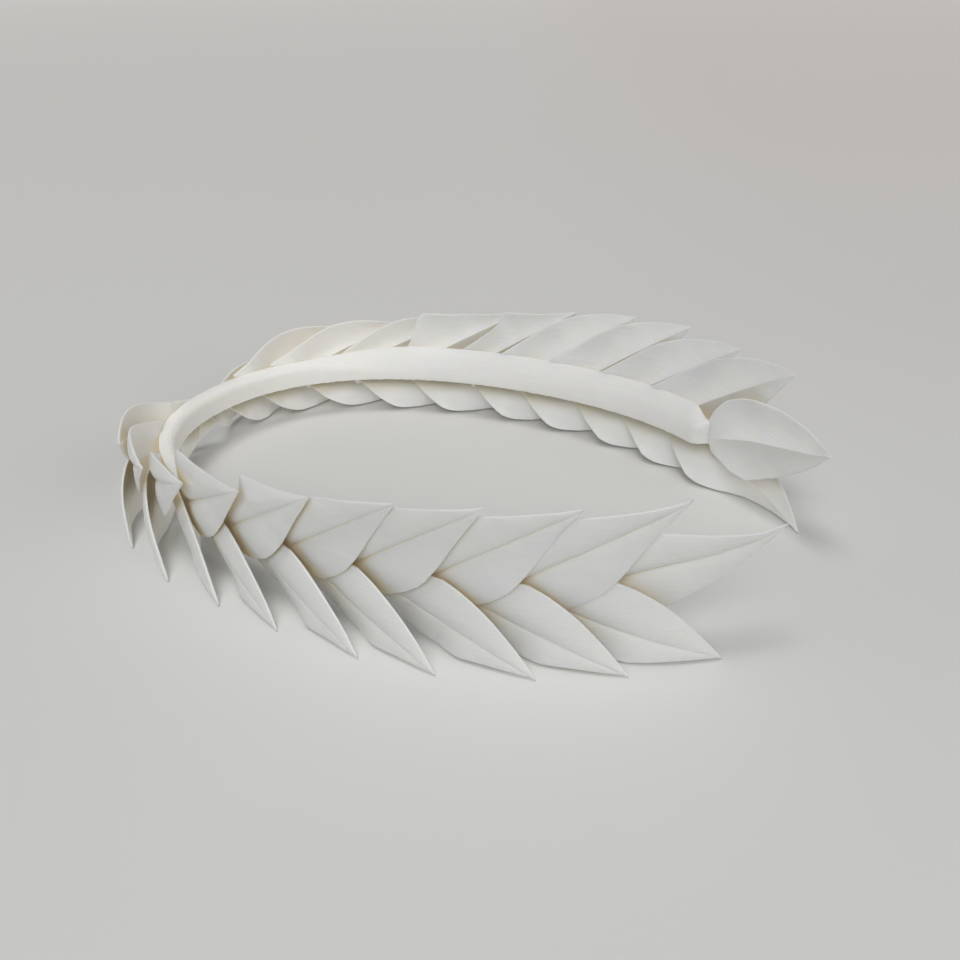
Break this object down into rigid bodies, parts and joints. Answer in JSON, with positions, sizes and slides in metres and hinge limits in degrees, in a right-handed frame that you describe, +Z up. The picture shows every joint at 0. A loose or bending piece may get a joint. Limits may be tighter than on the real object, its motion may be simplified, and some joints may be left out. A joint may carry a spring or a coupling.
{
  "type": "laurel wreath headpiece",
  "caption": "Open-front laurel wreath headpiece: an oval band with a closed back, carrying overlapping pointed leaves in an upper and a lower row that sweep toward the open front.",
  "frame": {"origin": "on the surface the wreath stands on, under the centre of its bounding box", "axes": "+Z up, +X from the closed back towards the open front, +Y to the wearer's left; Y = 0 is the plane of symmetry"},
  "size_m": [0.2298, 0.1728, 0.0505],
  "materials": {
    "print_white": "warm white printed plastic, satin to matte, with fine horizontal layer lines and slightly ragged overhanging edges"
  },
  "bodies": {
    "root": {"band": "print_white", "leaf_right_upper_01": "print_white", "leaf_right_upper_02": "print_white", "leaf_right_upper_03": "print_white", "leaf_right_upper_04": "print_white", "leaf_right_upper_05": "print_white", "leaf_right_upper_06": "print_white", "leaf_right_upper_07": "print_white", "leaf_right_upper_08": "print_white", "leaf_right_upper_09": "print_white", "leaf_right_upper_10": "print_white", "leaf_right_upper_11": "print_white", "leaf_right_lower_01": "print_white", "leaf_right_lower_02": "print_white", "leaf_right_lower_03": "print_white", "leaf_right_lower_04": "print_white", "leaf_right_lower_05": "print_white", "leaf_right_lower_06": "print_white", "leaf_right_lower_07": "print_white", "leaf_right_lower_08": "print_white", "leaf_right_lower_09": "print_white", "leaf_right_lower_10": "print_white", "leaf_right_lower_11": "print_white", "leaf_left_upper_01": "print_white", "leaf_left_upper_02": "print_white", "leaf_left_upper_03": "print_white", "leaf_left_upper_04": "print_white", "leaf_left_upper_05": "print_white", "leaf_left_upper_06": "print_white", "leaf_left_upper_07": "print_white", "leaf_left_upper_08": "print_white", "leaf_left_upper_09": "print_white", "leaf_left_upper_10": "print_white", "leaf_left_upper_11": "print_white", "leaf_left_lower_01": "print_white", "leaf_left_lower_02": "print_white", "leaf_left_lower_03": "print_white", "leaf_left_lower_04": "print_white", "leaf_left_lower_05": "print_white", "leaf_left_lower_06": "print_white", "leaf_left_lower_07": "print_white", "leaf_left_lower_08": "print_white", "leaf_left_lower_09": "print_white", "leaf_left_lower_10": "print_white", "leaf_left_lower_11": "print_white"}
  },
  "joints": []
}
